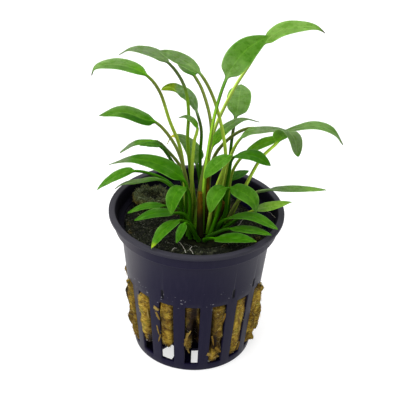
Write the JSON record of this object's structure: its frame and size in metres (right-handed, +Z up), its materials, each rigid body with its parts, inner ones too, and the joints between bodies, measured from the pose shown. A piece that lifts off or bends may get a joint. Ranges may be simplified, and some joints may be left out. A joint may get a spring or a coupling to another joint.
{
  "type": "potted cryptocoryne",
  "caption": "Small aquarium plant with stalked lance-shaped leaves, rooted in growing wool in a slotted round net pot with a flat lip.",
  "frame": {"origin": "centre of the underside of the pot's floor, on the surface the pot stands on", "axes": "+Z up along the pot's axis, +X to the right of the pictured view, -Y toward the viewer"},
  "size_m": [0.0768, 0.055, 0.1082],
  "materials": {
    "pot_plastic": "near-black violet plastic, satin, a little greyer where worn and wet",
    "wool": "olive-gold mineral wool, fibrous and matte, dark where damp",
    "wool_tuft": "grey-green and tan mineral wool with a thin film of algae, matte",
    "crown": "short brown-green rootstock, rough, damp",
    "dead_sheath": "dead leaf base, red-brown, papery, streaked along its length",
    "root": "fine living root, off-white, slightly translucent",
    "leaf_green": "living leaf, mid green with a soft waxy gloss, paler midrib, yellow-green stalk",
    "leaf_yellow": "young or ageing leaf, yellow-green, soft waxy gloss",
    "leaf_dark": "older leaf, grey-green to dark green, dark thin stalk"
  },
  "bodies": {
    "root": {"crown": "crown", "dead_sheath_front": "dead_sheath", "dead_sheath_middle": "dead_sheath", "dead_sheath_right": "dead_sheath", "leaf_arched_right": "leaf_yellow", "leaf_back_small": "leaf_green", "leaf_bowed_front": "leaf_green", "leaf_bowed_left": "leaf_green", "leaf_bowed_right": "leaf_green", "leaf_broad_top": "leaf_green", "leaf_curled": "leaf_dark", "leaf_edge_on": "leaf_green", "leaf_far_left": "leaf_dark", "leaf_far_right": "leaf_dark", "leaf_flat_right": "leaf_green", "leaf_high_back": "leaf_green", "leaf_high_centre": "leaf_green", "leaf_high_left": "leaf_green", "leaf_long_left": "leaf_green", "leaf_low_dark": "leaf_dark", "leaf_low_front": "leaf_green", "leaf_low_left": "leaf_green", "leaf_low_right": "leaf_green", "leaf_low_right_2": "leaf_green", "leaf_middle_left": "leaf_green", "leaf_nodding_right": "leaf_green", "leaf_over_rim": "leaf_green", "leaf_rim_left": "leaf_green", "leaf_rim_right": "leaf_green", "leaf_slim_right": "leaf_green", "leaf_small_front": "leaf_dark", "leaf_spade": "leaf_dark", "leaf_tiny": "leaf_yellow", "leaf_top_right": "leaf_green", "leaf_turned_back": "leaf_green", "leaf_twisted_left": "leaf_dark", "leaf_under_left": "leaf_yellow", "leaf_upper_left": "leaf_green", "leaf_wedge_right": "leaf_green", "leaf_yellow_tip": "leaf_yellow", "pot": "pot_plastic", "root_curled": "root", "root_front": "root", "root_left": "root", "root_short": "root", "wool": "wool", "wool_tuft": "wool_tuft"}
  },
  "joints": []
}
